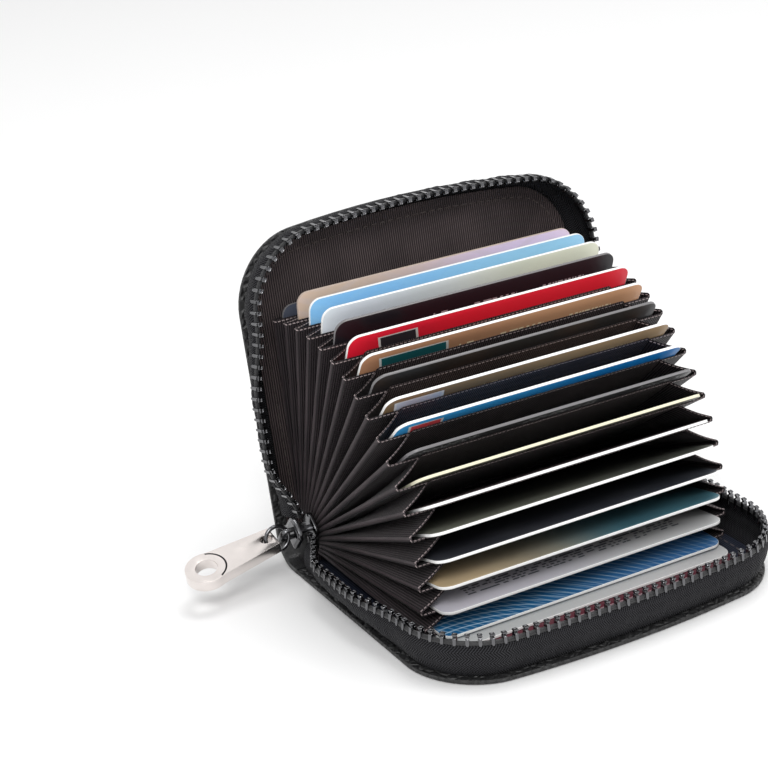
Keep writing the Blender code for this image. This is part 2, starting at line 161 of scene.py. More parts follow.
def cut_across(axis, *places):
    """Run new edges round the piece in hand at places along an axis, 0 for X and 1 for Y."""
    for place in places:
        pick_all()
        point, normal = Vector(), Vector()
        point[axis], normal[axis] = place, 1
        bpy.ops.mesh.bisect(plane_co=point, plane_no=normal)


def inset(thickness, depth=0.0):
    bpy.ops.mesh.inset(thickness=thickness, depth=depth)


def extrude(x=0.0, y=0.0, z=0.0):
    bpy.ops.mesh.extrude_region_move(TRANSFORM_OT_translate={"value": (x, y, z)})


def stretch(x, y):
    bpy.ops.transform.resize(value=(x, y, 1))


def modify(piece, kind, **settings):
    """Add a modifier and apply it."""
    hold(piece)
    made = piece.modifiers.new(kind.lower(), kind)
    for key, value in settings.items():
        setattr(made, key, value)
    bpy.ops.object.modifier_apply(modifier=made.name)


def cut(piece, cutter, operation="DIFFERENCE"):
    """Cut a piece by another, or join them, and throw the other away."""
    modify(piece, "BOOLEAN", object=cutter, operation=operation, solver="EXACT")
    discard(cutter)


def settle(piece, finish, body, nodes=(), turn=0.0, angle=35.0, matrix=None):
    """Place a piece that was made about the hinge, give it its finish, and tie it to its body."""
    down()
    piece.data.transform(matrix or Matrix.Translation(hinge) @ Matrix.Rotation(turn, 4, "X"))
    piece.data.update()
    hold(piece)
    bpy.ops.object.shade_smooth_by_angle(angle=math.radians(angle))
    if finish:
        piece.data.materials.clear()
        piece.data.materials.append(finish)
    if body:
        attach(piece, body)
    if nodes:
        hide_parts(*nodes)
    return piece


def put(thing):
    """Put an object into the scene."""
    bpy.context.scene.collection.objects.link(thing)
    return thing


def from_mesh(name, mesh):
    """An object from a bmesh."""
    data = bpy.data.meshes.new(name)
    mesh.to_mesh(data)
    mesh.free()
    return put(bpy.data.objects.new(name, data))


def skin(rows, ring=False):
    """Faces between rows of points. A ring's rows run round, and its two ends are closed."""
    mesh = bmesh.new()
    rows = [[mesh.verts.new(p) for p in row] for row in rows]
    for a, b in zip(rows, rows[1:]):
        for i in range(len(a) if ring else len(a) - 1):
            k = (i + 1) % len(a)
            mesh.faces.new((a[i], a[k], b[k], b[i]))
    if ring:
        mesh.faces.new(rows[0][::-1])
        mesh.faces.new(rows[-1])
    bmesh.ops.recalc_face_normals(mesh, faces=mesh.faces[:])
    return mesh


def area_of(mesh):
    return sum(face.calc_area() for face in mesh.faces)


def copies(name, model, places):
    """Copies of a small model at each place, as one piece."""
    down()
    mesh = bmesh.new()
    for place in places:
        start = len(mesh.verts)
        mesh.from_mesh(model.data)
        mesh.verts.ensure_lookup_table()
        bmesh.ops.transform(mesh, matrix=place, verts=mesh.verts[start:])
    return from_mesh(name, mesh)


def frame_of(origin, forward, up):
    """A matrix whose X runs forward and whose Z is nearest to up."""
    x = Vector(forward).normalized()
    y = Vector(up).cross(x).normalized()
    z = x.cross(y)
    turn = Matrix((x, y, z)).transposed().to_4x4()
    return Matrix.Translation(origin) @ turn


class Value:
    """A number or colour inside a finish, with its sums."""

    def __init__(self, finish, socket):
        self.finish = finish
        self.socket = socket

    def sum(self, kind, *others):
        return self.finish.sum(kind, self, *others)

    def __add__(self, other):
        return self.sum("ADD", other)

    __radd__ = __add__

    def __sub__(self, other):
        return self.sum("SUBTRACT", other)

    def __rsub__(self, other):
        return self.finish.sum("SUBTRACT", other, self)

    def __mul__(self, other):
        return self.sum("MULTIPLY", other)

    __rmul__ = __mul__

    def __truediv__(self, other):
        return self.sum("DIVIDE", other)

    def __gt__(self, other):
        return self.sum("GREATER_THAN", other)

    def __lt__(self, other):
        return self.sum("LESS_THAN", other)

    def wave(self):
        """A wave between 0 and 1, one long."""
        return self.finish.sum("SINE", self * (2 * math.pi)) * 0.5 + 0.5


class Finish:
    """A material with the nodes of its pattern."""

    def __init__(self, name, colour, roughness, metallic=0.0, **fixed):
        self.material = bpy.data.materials.new(name)
        self.material.use_nodes = True
        self.nodes = self.material.node_tree.nodes
        self.links = self.material.node_tree.links
        self.shader = self.nodes["Principled BSDF"]
        self.material.diffuse_color = (*colour, 1.0)
        self.set("Base Color", (*colour, 1.0))
        self.set("Roughness", roughness)
        self.set("Metallic", metallic)
        for key, value in fixed.items():
            self.set(key.replace("_", " ").title().replace("Ior", "IOR"), value)

    def set(self, socket, value):
        self.shader.inputs[socket].default_value = value

    def make(self, kind, inputs, output=0, **settings):
        """A node with its settings and inputs, and the value that comes out of it."""
        node = self.nodes.new("ShaderNode" + kind)
        for key, value in settings.items():
            setattr(node, key, value)
        for key, value in inputs.items():
            if isinstance(value, Value):
                self.links.new(value.socket, node.inputs[key])
            else:
                node.inputs[key].default_value = value
        return Value(self, node.outputs[output])

    def sum(self, kind, *values):
        return self.make("Math", dict(enumerate(values)), operation=kind)

    def place(self, kind="Object"):
        return self.make("TexCoord", {}, kind)

    def axes(self, vector):
        split = self.make("SeparateXYZ", {0: vector})
        return [Value(self, output) for output in split.socket.node.outputs]

    def joined(self, x=0.0, y=0.0, z=0.0):
        return self.make("CombineXYZ", {0: x, 1: y, 2: z})

    def noise(self, scale, detail=3.0, roughness=0.5, on=None):
        return self.make("TexNoise", {"Vector": on or self.place(), "Scale": scale, "Detail": detail,
                                      "Roughness": roughness})

    def cells(self, vector, scale, spread=1.0):
        """How far it is to the edge of a cell."""
        return self.make("TexVoronoi", {"Vector": vector, "Scale": scale, "Randomness": spread},
                         feature="DISTANCE_TO_EDGE")

    def bent(self, vector, scale, amount):
        """A vector moved about by noise."""
        drift = self.make("TexNoise", {"Vector": vector, "Scale": scale, "Detail": 2.0}, 1)
        drift = self.make("VectorMath", {0: drift, 1: (0.5, 0.5, 0.5)}, operation="SUBTRACT")
        drift = self.make("VectorMath", {0: drift, "Scale": amount}, operation="SCALE")
        return self.make("VectorMath", {0: vector, 1: drift}, operation="ADD")

    def ramp(self, value, low, high, start=0.0, end=1.0):
        return self.make("MapRange", {0: value, 1: low, 2: high, 3: start, 4: end},
                         interpolation_type="SMOOTHSTEP")

    def mix(self, share, first, second):
        first = (*first, 1.0) if isinstance(first, tuple) else first
        second = (*second, 1.0) if isinstance(second, tuple) else second
        return self.make("Mix", {0: share, 6: first, 7: second}, 2, data_type="RGBA")

    def feed(self, socket, value):
        self.links.new(value.socket, self.shader.inputs[socket])

    def relief(self, height, depth):
        """A bump whose heights of 0 to 1 stand that deep."""
        self.feed("Normal", self.make("Bump", {"Height": height, "Distance": depth}))


def pebbled_leather():
    f = Finish("black pebbled leather", (0.014, 0.014, 0.015), 0.4, specular_ior_level=0.55,
               coat_roughness=0.3)
    p = f.bent(f.place(), 260.0, 0.0011)
    pebbles = f.cells(p, 470.0, 0.9)
    crowns = f.ramp(pebbles, 0.0, 0.32)
    fine = f.noise(5200.0)
    patches = f.noise(90.0, 2.0)
    f.feed("Base Color", f.mix(crowns, (0.006, 0.006, 0.0065), (0.019, 0.019, 0.02)))
    f.feed("Roughness", 0.52 - crowns * 0.16 + patches * 0.1)
    f.relief(crowns + fine * 0.08, 0.00032)
    return f.material


def edge_leather():
    f = Finish("smooth shiny leather", (0.010, 0.010, 0.011), 0.24, specular_ior_level=0.5,
               coat_weight=0.35, coat_roughness=0.18)
    creases = f.noise(700.0, 4.0, 0.62, f.bent(f.place(), 120.0, 0.004))
    grain = f.cells(f.place(), 1300.0)
    f.feed("Base Color", f.mix(creases, (0.006, 0.006, 0.007), (0.018, 0.018, 0.019)))
    f.feed("Roughness", 0.2 + creases * 0.2)
    f.relief(creases * 0.6 + f.ramp(grain, 0.0, 0.2) * 0.4, 0.0001)
    return f.material


def ribbed_nylon(name, dark, light, depth=0.13 * MM):
    """Fine ribs side by side along X, crossed by the weave's threads."""
    f = Finish(name, light, 0.55, sheen_weight=0.06, sheen_roughness=0.4, specular_ior_level=0.22)
    x, y, z = f.axes(f.bent(f.place(), 60.0, 0.3 * MM))
    ribs = (x / (0.66 * MM)).wave()
    threads = ((y + z) / (0.33 * MM)).wave()
    wide = f.noise(70.0, 2.0)
    # the rib crests are painted lighter and the grooves darker: painted highlight and shade on the weave
    painted_rib_shading = f.ramp(ribs * 0.75 + threads * 0.25, 0.15, 0.85)
    colour = f.mix(painted_rib_shading, dark, light)
    f.feed("Base Color", f.mix(f.ramp(wide, 0.35, 0.7, 0.0, 0.35), colour, dark))
    f.feed("Roughness", 0.62 - ribs * 0.2)
    f.relief(ribs + threads * 0.3, depth)
    return f.material


def woven_tape():
    """Herringbone that follows the tape round the wallet, in the piece's own UV map, in metres."""
    f = Finish("black woven tape", (0.02, 0.02, 0.022), 0.7, specular_ior_level=0.14)
    run, rise, _ = f.axes(f.place("UV"))
    column = f.sum("PINGPONG", rise, 1.5 * MM)
    ribs = ((run + column * 0.8) / (0.62 * MM)).wave()
    threads = (rise / (0.4 * MM)).wave()
    worn = f.noise(160.0)
    # the herringbone crests are painted lighter and the grooves darker: painted sheen and shade in place
    # of the cloth's own sheen
    painted_rib_shading = f.ramp(ribs * 0.7 + threads * 0.3, 0.15, 0.9)
    colour = f.mix(painted_rib_shading, (0.001, 0.001, 0.0013), (0.044, 0.044, 0.05))
    f.feed("Base Color", f.mix(worn * 0.12, colour, (0.045, 0.044, 0.045)))
    f.feed("Roughness", 0.8 - painted_rib_shading * 0.25)
    f.relief(ribs + threads * 0.5, 0.0003)
    return f.material


def polished(name, colour, roughness):
    """Smooth metal, a little smeared, with hair scratches along X."""
    f = Finish(name, colour, roughness, 1.0)
    smears = f.noise(260.0)
    x, y, z = f.axes(f.place())
    scratches = f.noise(3600.0, 2.0, on=f.joined(x * 0.12, y, z))
    f.feed("Roughness", roughness + smears * 0.1)
    tint = tuple(c * 0.82 for c in colour)
    f.feed("Base Color", f.mix(smears, tint, colour))
    f.relief(scratches, 0.000004)
    return f.material


def thread(name, colour):
    """Two tones that wind round each other."""
    f = Finish(name, colour, 0.45, sheen_weight=0.2)
    x, y, z = f.axes(f.place())
    twist = ((x + y + z) / (0.35 * MM)).wave()
    f.feed("Base Color", f.mix(twist, tuple(c * 0.55 for c in colour), colour))
    f.relief(twist, 0.00005)
    return f.material


def fibre_board():
    f = Finish("grey fibre board", (0.30, 0.28, 0.25), 0.85)
    flecks = f.noise(1800.0, 5.0, 0.7)
    clouds = f.noise(120.0, 2.0)
    f.feed("Base Color", f.mix(flecks * 0.6 + clouds * 0.4, (0.21, 0.19, 0.17), (0.38, 0.36, 0.32)))
    f.feed("Roughness", 0.75 + flecks * 0.2)
    f.relief(flecks, 0.00004)
    return f.material


def card_core(name, colour):
    """The core that shows on the edge of a card, with its thin layers."""
    f = Finish(name, colour, 0.35)
    layers = f.noise(2600.0, 2.0)
    worn = tuple(c * 0.82 for c in colour)
    f.feed("Base Color", f.mix(f.ramp(layers, 0.3, 0.7, 0.0, 0.3), colour, worn))
    f.relief(layers, 0.00001)
    return f.material


def dashes(f, u, long, row):
    """Uneven dashes along a row, some of them left out."""
    return f.noise(1.0, 0.0, on=f.joined(u * (85.6 / long), f.sum("FLOOR", row) * 7.3)) > 0.46


def card_face(name, left, right, motif="plain", ink=(0.8, 0.8, 0.8), share=0.5, label=None, turn=0.5):
    """A printed card: one colour runs into another along it, with a generic motif over them."""
    f = Finish("card " + name, left, 0.36, coat_weight=0.12, coat_roughness=0.25,
               specular_ior_level=0.35)
    u, v, _ = f.axes(f.place("UV"))
    drift = f.noise(1.0, 2.0, on=f.joined(u * 3.0, v * 1.5))
    base = f.mix(f.ramp(u + drift * 0.3 - 0.15, turn - 0.4, turn + 0.4), left, right)
    if motif == "rows":
        row = v * 40.0
        mark = (row.wave() > 0.5) * dashes(f, u, 1.1, row) * (v > 0.80) * (v < 0.90)
        mark = mark * (u > 0.12) * (u < 0.88) * share
    elif motif == "rings":
        near, far = (u - 0.05) * 1.59, v - 1.55
        first = f.sum("SQRT", near * near + far * far)
        near, far = (u - 1.1) * 1.59, v - 0.1
        second = f.sum("SQRT", near * near + far * far)
        mark = f.ramp((first * 24.0).wave(), 0.8, 1.0) + f.ramp((second * 31.0).wave(), 0.85, 1.0) * 0.6
        mark = mark * share * f.ramp(u, 1.0, 0.0, 0.4, 1.0)
    elif motif == "waves":
        mark = f.ramp((v * 14.0 + (u * 3.0).wave() * 1.2).wave(), 0.35, 0.9) * share
    elif motif == "bars":
        mark = (v > 0.893) * (v < 0.909) * dashes(f, u, 0.9, 3.0 + v) * ((u * 4.0).wave() > 0.32)
        mark = mark * (u > 0.34) * (u < 0.92) * share
    elif motif == "scrolls":
        bent = f.bent(f.joined(u * 1.59, v), 14.0, 0.05)
        mark = f.ramp(f.cells(bent, 26.0), 0.10, 0.02)
        mark = mark * (v > 0.925) * (v < 0.978) * ((u * 2.4).wave() > 0.3) * share
    else:
        mark = f.ramp(f.noise(1.0, on=f.joined(u * 5.0, v * 4.0)), 0.4, 0.8) * share * 0.3
    colour = f.mix(mark, base, ink)
    if label:
        x0, x1, tint = label
        slant = u + v * 0.15
        tag = (slant > x0 + 0.13) * (slant < x1 + 0.13) * (v > 0.875) * (v < 0.955)
        rim = (slant > x0 + 0.122) * (slant < x1 + 0.138) * (v > 0.868) * (v < 0.962)
        colour = f.mix(rim, colour, (0.62, 0.62, 0.60))
        colour = f.mix(tag, colour, tint)
    f.feed("Base Color", colour)
    rub = f.noise(1.0, on=f.joined(u * 30.0, v * 120.0))
    f.feed("Roughness", 0.36 + rub * 0.1)
    f.relief(rub + mark * 0.3, 0.000009)
    return f.material


LEATHER = pebbled_leather()
EDGE = edge_leather()
# in each cloth the light colour is the painted highlight on the rib crests; the dark one is the painted
# shade in the grooves, and also tints random wide patches
NYLON = ribbed_nylon("dark brown ribbed nylon", (0.005, 0.004, 0.0046), (0.046, 0.034, 0.038))
LINING = ribbed_nylon("dark brown lining", (0.004, 0.003, 0.0034), (0.112, 0.083, 0.084))
NAVY = ribbed_nylon("navy black lining", (0.003, 0.0045, 0.011), (0.009, 0.013, 0.028), 0.05 * MM)
TAPE = woven_tape()
TEETH = polished("black chrome", (0.15, 0.15, 0.157), 0.1)
STEEL = polished("polished gunmetal", (0.87, 0.81, 0.78), 0.14)
# a near-black metal that is painted shade, laid in the tab's grooves to darken them
GROOVE_SHADE = polished("black painted groove shade", (0.02, 0.02, 0.022), 0.3)
THREAD = thread("black glossy thread", (0.022, 0.022, 0.024))
CORD = thread("black cord", (0.006, 0.006, 0.008))
BROWN = thread("brown thread", (0.075, 0.052, 0.046))
SELVAGE = thread("grey brown thread", (0.46, 0.37, 0.37))
BOARD = fibre_board()
CORE = card_core("white card core", (0.90, 0.90, 0.89))
GREY_CORE = card_core("grey card core", (0.17, 0.165, 0.17))
TAN_CORE = card_core("tan card core", (0.55, 0.44, 0.37))
PINK_CORE = card_core("pink card core", (0.36, 0.24, 0.26))


def plate(name, margin, back, low, high):
    """A cover's panel about the hinge, round at its mouth corners, with low its outer face."""
    piece = block(name, (-half_length + margin, -mouth_reach + margin, low - half),
                  (half_length - margin, back, high - half))
    edge = -mouth_reach + margin
    bevel(piece, mouth_corner - margin, 14, lambda m, d: abs(d.z) > 0.9 and m.y < edge + MM)
    return piece


def rim(piece, level, offset, segments):
    """Round the outline of a plate at one level."""
    bevel(piece, offset, segments, lambda m, d: abs(m.z - level) < 1e-5 and abs(d.z) < 0.1)


def cover(word):
    """The outer leather, with a sunk line for its stitches."""
    piece = plate(word + "_leather", 0.0, spine_lap, 0.0, leather)
    rim(piece, leather - half, 0.3 * MM, 2)
    rim(piece, -half, 0.45 * MM, 3)
    pick(piece, lambda m, n: n.z < -0.99)
    edge_band, slope, sunk, floor = 2.6 * MM, 0.35 * MM, 0.32 * MM, 0.55 * MM
    inset(edge_band)
    inset(slope, -sunk)
    inset(floor)
    inset(slope, sunk)
    for step, rise in ((3.0, 0.2), (5.0, 0.25)) if word == "upper" else ():
        inset(step * MM, rise * MM)
    bow_mouth(piece, 10)
    return finish_cover_piece(piece, word, LEATHER, word + "_cover_leather")


def bow_mouth(piece, cuts=0):
    """Draw a cover's piece out to the bowed edge of the mouth, with cuts across it to bend at."""
    if cuts:
        take(piece)
        cut_across(0, *[(2 * i / cuts - 1) * (half_length - mouth_corner) for i in range(1, cuts)])
    down()
    for vertex in piece.data.vertices:
        across = max(0.0, 1 - (vertex.co.x / half_length) ** 2)
        vertex.co.y -= mouth_bow * across * max(0.0, -vertex.co.y / mouth_reach)


def finish_cover_piece(piece, word, finish, node=None):
    """Put a piece that was made for the lower cover on its cover."""
    matrix = Matrix.Translation(hinge)
    if word == "upper":
        matrix = matrix @ Matrix.Rotation(-opening, 4, "X") @ Matrix.Rotation(math.pi, 4, "Y")
    return settle(piece, finish, word + "_cover", (node,) if node else (), matrix=matrix)


def outline_places(margin, pitch, level, back=0.0):
    """Evenly spaced places round a cover's two ends and mouth, with the way along at each."""
    x, y, r = half_length - margin, -mouth_reach + margin, mouth_corner - margin
    line = [Vector((-x, back, 0)), Vector((-x, y + r, 0))]
    steps = 24
    for side, turn, first in ((-1, math.pi, 1), (1, 1.5 * math.pi, 0)):
        for i in range(first, steps + 1):
            a = turn + math.pi / 2 * i / steps
            line.append(Vector((side * (x - r) + r * math.cos(a), y + r + r * math.sin(a), 0)))
    line.append(Vector((x, back, 0)))
    return spaced(line, pitch, level)


def spaced(line, pitch, level=0.0, lead=0.5):
    """Places along a line of points, a pitch apart, each with the way along."""
    lengths = [(b - a).length for a, b in zip(line, line[1:])]
    count = int(sum(lengths) / pitch)
    pitch = sum(lengths) / count
    out, k, gone = [], 0, 0.0
    for n in range(count):
        s = (n + lead) * pitch
        while k < len(lengths) - 1 and s > gone + lengths[k]:
            gone += lengths[k]
            k += 1
        way = (line[k + 1] - line[k]).normalized()
        out.append((line[k] + way * (s - gone) + Vector((0, 0, level)), way))
    return out


def stitch_model(length, width):
    """One stitch: a short thread, round in section, that dips at both ends."""
    piece = block("stitch", (-length / 2, -width / 2, -width / 2), (length / 2, width / 2, width / 2))
    bevel(piece, width * 0.29, 1, lambda m, d: True)
    pick(piece, lambda m, n: abs(n.x) > 0.9)
    bpy.ops.transform.translate(value=(0, 0, -width * 0.3))
    return piece


def stitch_row(name, places, length, width, finish, word, up=(0, 0, 1), bowed=True):
    model = stitch_model(length, width)
    piece = copies(name, model, [frame_of(p, way, up) for p, way in places])
    discard(model)
    if bowed:
        bow_mouth(piece)
    return finish_cover_piece(piece, word, finish)


for word in ("lower", "upper"):
    cover(word)
    stitch_row(word + "_leather_stitches", outline_places(3.3 * MM, 2.9 * MM, 0.28 * MM - half),
               2.2 * MM, 0.5 * MM, THREAD, word, (0, 0, -1))


def lining(word):
    """The cloth inside a cover, with a turned edge."""
    margin, back = 2.7 * MM, 1.9 * MM
    piece = plate(word + "_lining_cloth", margin, back, 2.2 * MM, lining_top)
    rim(piece, lining_top - half, 0.15 * MM, 2)
    pick(piece, lambda m, n: n.z > 0.99)
    inset(0.9 * MM)
    inset(0.5 * MM, -0.12 * MM)
    inset(0.5 * MM, 0.12 * MM)
    bow_mouth(piece, 10)
    made = finish_cover_piece(piece, word, NAVY if word == "lower" else LINING,
                              word + "_cover_lining")
    word + "_cover_board"


for word in ("lower", "upper"):
    lining(word)
    stitch_row(word + "_lining_stitches", outline_places(5.6 * MM, 2.6 * MM, 2.56 * MM - half, -6 * MM),
               1.7 * MM, 0.34 * MM, BROWN, word)
    node = word + "_cover_board"
    bpy.data.objects[node].material_slots[0].material = BOARD


def spine():
    """The leather behind the hinge: straight, round the bend, and straight up the other cover."""
    bend, start = 9.0 * MM, spine_lap + 0.3 * MM
    middle_y = (half - bend) / math.tan(opening / 2)
    piece = block("spine_skin", (-half_length, start - 0.05 * MM, -half),
                  (half_length, start, leather - half))
    pick(piece, lambda m, n: n.y > 0.9)
    for _ in range(3):
        extrude(y=(middle_y - start) / 3)
    bpy.ops.mesh.spin(steps=22, angle=math.pi - opening, axis=(-1, 0, 0),
                      center=(0, middle_y, bend - half))
    for _ in range(3):
        extrude(*Vector((0, -math.cos(opening), math.sin(opening))) * (middle_y - start) / 3)
    pick_all()
    bpy.ops.mesh.remove_doubles(threshold=1e-6)
    bpy.ops.mesh.normals_make_consistent(inside=False)
    bevel(piece, 0.35 * MM, 2, lambda m, d: abs(abs(m.x) - half_length) < 1e-6 and abs(d.x) < 0.1)
    made = settle(piece, EDGE, None, ("spine_leather",), angle=50)
    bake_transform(made)


spine()


def eased(share):
    share = min(max(share, 0.0), 1.0)
    return share * share * (3 - 2 * share)


def side_lean(reach, straight, most):
    """How far the top of the tape leans out on a side: upright in the slider, most a little on."""
    rise = eased((reach - tape_start) / (17.0 * MM))
    settled = eased((reach - straight + 22.0 * MM) / (22.0 * MM))
    return rise * (most + (tape_lean - most) * settled)


def zip_line(step):
    """Places round the near end, the mouth and the far end, with the way out and the lean."""
    x, y, r = half_length - tape_inset, -mouth_reach + tape_inset, mouth_corner - tape_inset
    straight = -y - r
    near_lean = 6.5 * MM
    sides, turns = int((straight - tape_start) / step), int(r * math.pi / 2 / step)
    fronts = int(2 * (x - r) / step)
    out = []

    def edge(side, start, end, first, most):
        for i in range(first, sides + 1):
            reach = start + (end - start) * i / sides
            lean = side_lean(reach, straight, most)
            out.append((Vector((side * x, -reach, 0)), Vector((side, 0, 0)), lean))

    def corner(side, turn, first):
        for i in range(first, turns + 1):
            a = turn + math.pi / 2 * i / turns
            d = Vector((math.cos(a), math.sin(a), 0))
            out.append((Vector((side * (x - r), y + r, 0)) + d * r, d, tape_lean))

    edge(-1, tape_start, straight, 0, near_lean)
    corner(-1, math.pi, 1)
    for i in range(1, fronts):
        out.append((Vector((-x + r + 2 * (x - r) * i / fronts, y, 0)), Vector((0, -1, 0)), tape_lean))
    corner(1, 1.5 * math.pi, 0)
    edge(1, straight, tape_start, 1, tape_lean)
    return out


# how far the tape's wall bulges, at shares of its height
wall_shape = ((0.0, 0.0), (0.18, 0.55), (0.4, 1.0), (0.65, 0.9), (0.85, 0.4), (1.0, -0.5))


def wall_share(height):
    """The wall's bulge at a share of its height, smooth through the places of its shape."""
    for (a, p), (b, q) in zip(wall_shape, wall_shape[1:]):
        if height <= b + 1e-9:
            break
    k = wall_shape.index((a, p))
    before = wall_shape[max(k - 1, 0)][1]
    after = wall_shape[min(k + 2, len(wall_shape) - 1)][1]
    t = (height - a) / (b - a)
    m, n = (q - before) / 2, (after - p) / 2
    return ((2 * t ** 3 - 3 * t * t + 1) * p + (t ** 3 - 2 * t * t + t) * m
            + (3 * t * t - 2 * t ** 3) * q + (t ** 3 - t * t) * n)


def cover_turn(word):
    return Matrix.Translation(hinge) @ Matrix.Rotation(-opening if word == "upper" else 0.0, 4, "X")


def level(word, height):
    """The height from the hinge plane of what lies at a height above a cover's outer face."""
    return height - half if word == "lower" else half - height


def zip_tape(word):
    """A woven band: flat between the leather and the lining, then up and out to the teeth."""
    line = zip_line(0.9 * MM)
    thick, bulge, steps = 0.5 * MM, 1.2 * MM, 14
    foot = leather + 0.35 * MM
    rise = tape_top - foot
    rows, marks, run = [], [], 0.0
    for n, (p, d, lean) in enumerate(line):
        if n:
            run += (p - line[n - 1][0]).length
        row = []
        for out in (-5.2 * MM, -2.6 * MM):
            row.append((out - thick / 2, foot))
            marks.append((run, out))
        for i in range(steps + 1):
            a = i / steps
            pucker = 0.11 * MM * math.sin(run / (2.9 * MM) * 2 * math.pi) * math.sin(math.pi * a) ** 2
            ripple = 0.16 * MM * math.sin(run / (11.0 * MM) * 2 * math.pi + 1.3) * math.sin(math.pi * a)
            row.append((bulge * wall_share(a) + lean * a - thick / 2 + pucker + ripple, foot + rise * a))
            marks.append((run, rise * a))
        rows.append([(p.x + d.x * out, p.y + d.y * out, level(word, h)) for out, h in row])
    mesh = skin(rows)
    mesh.verts.index_update()
    uv = mesh.loops.layers.uv.new("weave")
    for face in mesh.faces:
        for loop in face.loops:
            loop[uv].uv = marks[loop.vert.index]
    area = area_of(mesh)
    piece = from_mesh(word + "_tape_cloth", mesh)
    modify(piece, "SOLIDIFY", thickness=thick, offset=0.0)
    bow_mouth(piece)
    made = settle(piece, TAPE, word + "_cover", (word + "_zip_tape",), matrix=cover_turn(word))
    area / run
    word + "_leather"


def tooth_model():
    """A tooth: two legs that clasp the tape's edge, and a hooked head with a socket."""
    w, split = 0.42 * MM, 0.36 * MM
    piece = block("tooth", (-w, -0.8 * MM, 0), (w, 0.8 * MM, 0.75 * MM))
    cut_across(1, split, -split)
    for side, drop, splay in ((1, 2.1, 0.15), (-1, 1.2, -0.1)):
        pick(piece, lambda m, n: n.z < -0.9 and m.y * side > split)
        for _ in range(2):
            extrude(y=splay * MM, z=-drop * 0.5 * MM)
        stretch(0.7, 0.8)
    pick(piece, lambda m, n: n.z > 0.9 and abs(m.y) < 0.3 * MM)
    for rise, wide, deep in ((0.25, 0.9, 1.2), (0.5, 1.75, 1.35), (0.3, 0.75, 0.8)):
        extrude(z=rise * MM)
        stretch(wide, deep)
    inset(0.16 * MM, -0.2 * MM)
    modify(piece, "BEVEL", width=0.07 * MM, segments=1, angle_limit=math.radians(50))
    return piece


def zip_teeth(word):
    """The corded edge of the tape, and the teeth that clasp it."""
    side = 1 if word == "lower" else -1
    line = []
    for p, d, lean in zip_line(0.5 * MM):
        line.append(Vector((p.x + d.x * (lean - row_middle), p.y + d.y * (lean - row_middle), 0)))
    pitch, lead = 2.8 * MM, 0.25 if word == "lower" else 0.75
    places = spaced(line, pitch, level(word, tape_top + 1.05 * MM), lead)
    model = tooth_model()
    piece = copies(word + "_teeth", model, [frame_of(p, way, (0, 0, side)) for p, way in places])
    discard(model)
    bow_mouth(piece)
    settle(piece, TEETH, word + "_cover", (word + "_zip_teeth",), matrix=cover_turn(word))
    bead_radius, rows = 0.62 * MM, []
    for n, p in enumerate(line):
        way = (line[min(n + 1, len(line) - 1)] - line[max(n - 1, 0)]).normalized()
        out = Vector((way.y, -way.x, 0))
        rows.append([])
        for i in range(8):
            a = math.pi / 4 * i
            spot = p + out * (bead_radius * math.cos(a))
            spot.z = level(word, tape_top + 0.35 * MM + bead_radius * math.sin(a))
            rows[-1].append(spot)
    bead = from_mesh(word + "_tape_bead", skin(rows, ring=True))
    bow_mouth(bead)
    settle(bead, CORD, word + "_cover", matrix=cover_turn(word))


for word in ("lower", "upper"):
    zip_tape(word)
    zip_teeth(word)


def fan(plane, x, reach, height):
    """A point by its leaf plane, its place along the spine, its reach and its height over it."""
    angle = leaf_angle * plane
    z = fan_foot + bay_pitch * plane + height
    return hinge + Vector((x, z * math.sin(angle) - reach * math.cos(angle),
                           z * math.cos(angle) + reach * math.sin(angle)))


def leaf(n):
    """A nylon leaf between two pockets, with a turned hem along its mouth."""
    z = fan_foot + bay_pitch * n
    t, hem, mouth = 0.1 * MM, 1.7 * MM, -leaf_reach
    piece = block(f"leaf_{n:02d}_cloth", (-leaf_half, mouth, z - t), (leaf_half, -leaf_root, z + t))
    bevel(piece, 1.2 * MM, 3, lambda m, d: abs(d.z) > 0.9)
    cut_across(1, mouth + hem)
    bevel(piece, 0.08 * MM, 2, lambda m, d: abs(abs(m.z - z) - t) < 1e-6 and m.y < mouth + 1e-5)
    return settle(piece, LINING, f"leaf_{n:02d}", (f"pocket_leaf_{n:02d}",), turn=-leaf_angle * n)


def leaf_stitches(n, model):
    """The pale dotted stitching close to a leaf's mouth edge."""
    z = fan_foot + bay_pitch * n
    count, span, row = 62, leaf_half - 0.6 * MM, -leaf_reach + 0.65 * MM
    places = [Matrix.Translation(((2 * i + 1) / count * span - span, row, z)) for i in range(count)]
    return settle(copies(f"leaf_{n:02d}_stitches", model, places), SELVAGE, f"leaf_{n:02d}",
                  turn=-leaf_angle * n)


dot = block("stitch", (-0.4 * MM, -0.2 * MM, -0.17 * MM), (0.4 * MM, 0.2 * MM, 0.17 * MM))
bevel(dot, 0.1 * MM, 1, lambda m, d: True)
for n in range(1, bay_count):
    made = leaf(n)
    threads = leaf_stitches(n, dot)


